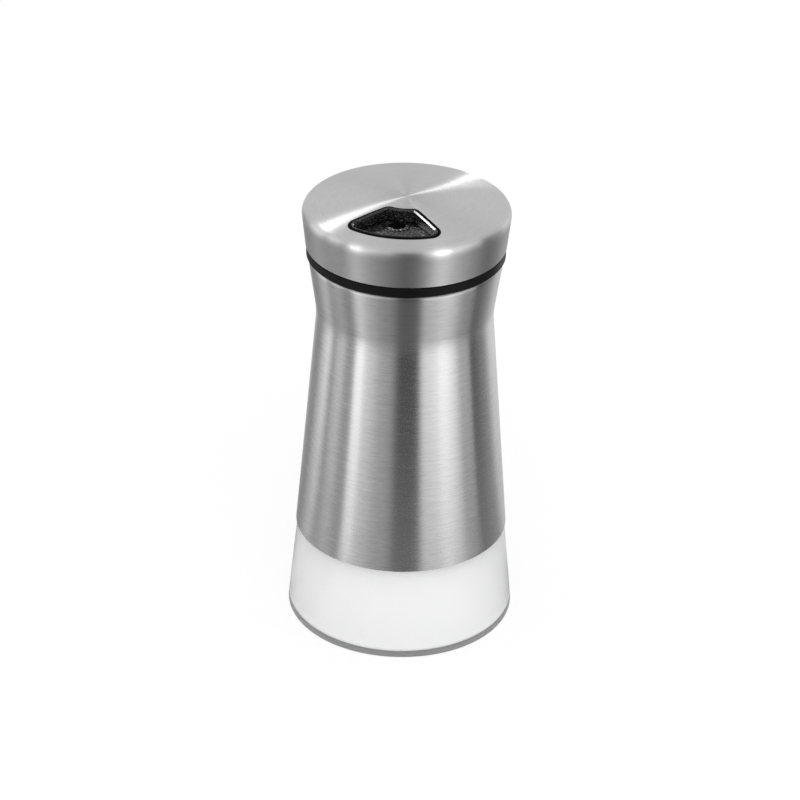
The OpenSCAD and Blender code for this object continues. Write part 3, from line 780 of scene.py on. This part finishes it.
# Dial liner
# Glossy black moulding inside the cap. Its frame stands in the steel cut-out, a little proud of
# the steel, with a rounded crown and a bevel inwards, and a groove lies round it.
disc_sheet = 1.0 * mm
well_z = cap_high.z - 3.06 * mm
well_top = well_z + 1.3 * mm
well_foot = 0.1 * mm
liner_in = cap_sheet + clad_gap
disc_in = liner_in + disc_sheet
frame_gap = 0.06 * mm
frame_w = 1.45 * mm
frame_proud = 0.2 * mm
liner_z0 = cap_z0 + cap_sheet + clad_gap
groove_w = 0.75 * mm
groove_depth = 0.45 * mm
crown_r = 0.15 * mm
bevel_run = np.array([0.38, -0.26]) * mm
moat = np.array([[0, -groove_depth], [groove_w, -groove_depth]])
crown = arc(groove_w + crown_r, frame_proud - crown_r, crown_r, 180, 56, 9)
bevel = crown[-1] + np.linspace(0.1, 1, 6)[:, None] * bevel_run
frame_line = np.concatenate([moat, crown, bevel])
liner_rows = [on_dome(window_ring(frame_gap + x), lift) for x, lift in frame_line]
well_plan = window_ring(frame_gap + frame_w)
liner_rows += [at_height(well_plan, z) for z in np.linspace(well_top, well_z + well_foot, 5)]
liner_rows += [at_height(window_ring(frame_gap + frame_w - well_foot), well_z)]
start_plan = window_ring(frame_gap)
liner_rows += [at_height(start_plan, well_z), on_dome(start_plan, -disc_in)]
inner_rim = circle_ring(dial_in_r)
liner_rows += [on_dome(start_plan + (inner_rim - start_plan) * s, -disc_in)
               for s in np.linspace(0, 1, 10)[1:]]
liner_rows += [at_height(inner_rim, liner_z0)]
liner_rows += [at_height(circle_ring(cap_x(liner_z0, liner_in)), liner_z0)]
liner_edge = arc(edge_x, edge_z, cap_edge - liner_in, -lean_out, 90 - dome_half, 10)
liner_rows += [at_height(circle_ring(x), z) for x, z in liner_edge[:-1]]
liner_rows += dome_rows(frame_gap, -liner_in, np.linspace(1, 0, 10))
liner = ring_mesh("cap_liner", np.stack(liner_rows), closed=True)
liner.data.materials.append(moulded_black(
    "liner_plastic", tone=0.004, roughness=0.16, shine=0.6, grain=900.0, depth=0.005 * mm,
    dust_z=well_z, dust=0.09))
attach(liner, "dial")
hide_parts("dial_liner")

# Groove shade
# Painted shade: a dull black strip laid in the groove between the steel's cut edge and the liner's
# frame, where there is only shadow. It draws the dark line round the frame.
shade_strip_side = 0.04 * mm
shade_strip_edge = 0.05 * mm
shade_strip_proud = 0.06 * mm
shade_strip_floor = shade_strip_edge - groove_depth
shade_strip_top = np.stack([np.linspace(0.12, 0.66, 8) * mm,
                     shade_strip_proud * np.sin(np.linspace(0.1, 0.9, 8) * np.pi)], axis=1)
shade_strip_line = np.concatenate([
    [[shade_strip_side, shade_strip_floor], [shade_strip_side, -shade_strip_edge]],
    shade_strip_top,
    [[groove_w - shade_strip_side, 0], [groove_w - shade_strip_side, shade_strip_floor]]])
shade_strip_rows = [on_dome(window_ring(frame_gap + x), lift) for x, lift in shade_strip_line]
shade_strip = ring_mesh("groove_shade_strip", np.stack(shade_strip_rows), closed=True)
# Dull black for the painted shade in the groove.
shade_strip_black, tree, out = new_material("shade_strip_black")
fine = cloudy(tree, object_space(tree), 3000.0, 2.0)
grey = spread(tree, fine, (0.002, 0.006), noise_span)
body = add(tree, "ShaderNodeBsdfPrincipled", {
    "Base Color": grey_of(tree, grey), "Roughness": 0.7, "Specular IOR Level": 0.02})
tree.links.new(body.outputs[0], out.inputs["Surface"])
shade_strip.data.materials.append(shade_strip_black)
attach(shade_strip, "dial")

# Lamps for one piece alone
# For the liner, one on the left draws the bright line on the window's right bevel, and one behind
# on the right the glint in its left corner. A narrow spot grazes the plate, so that the frame
# shades its left part. For the cap, two low in front draw the bright spots on its edge.
left_place = (-0.3215, 0.1655, 0.449)
window_place = (0.001, -0.0145, 0.111)
side_lamp = soft_lamp("side_lamp", left_place, window_place, sides=(0.09, 0.09), power=0.8)
side_lamp.visible_diffuse = False
corner_lamp = soft_lamp("corner_lamp", (0.25, 0.373, 0.293), window_place, sides=(0.06, 0.06),
                        power=0.3)
corner_lamp.visible_diffuse = False
plate_lamp = soft_lamp("plate_lamp", left_place, window_place, sides=(0.04, 0.04), power=40.0)
plate_lamp.data.type = "SPOT"
plate_lamp.data.spot_size = math.radians(3.6)
plate_lamp.data.spot_blend = 0.3
plate_lamp.data.shadow_soft_size = 4 * mm
left_edge_lamp = soft_lamp("left_edge_lamp", (-0.399, -0.301, 0.136), window_place,
                           sides=(0.12, 0.12), power=0.18)
left_edge_lamp.visible_diffuse = False
right_edge_lamp = soft_lamp("right_edge_lamp", (0.301, -0.399, 0.136), window_place,
                            sides=(0.12, 0.12), power=0.4)
right_edge_lamp.visible_diffuse = False
for lamp, lit in ((side_lamp, liner), (corner_lamp, liner), (plate_lamp, lid_base),
                  (left_edge_lamp, cap), (right_edge_lamp, cap)):
    lit_alone = bpy.data.collections.new("lit_by_" + lamp.name)
    lit_alone.objects.link(lit)
    lamp.light_linking.receiver_collection = lit_alone
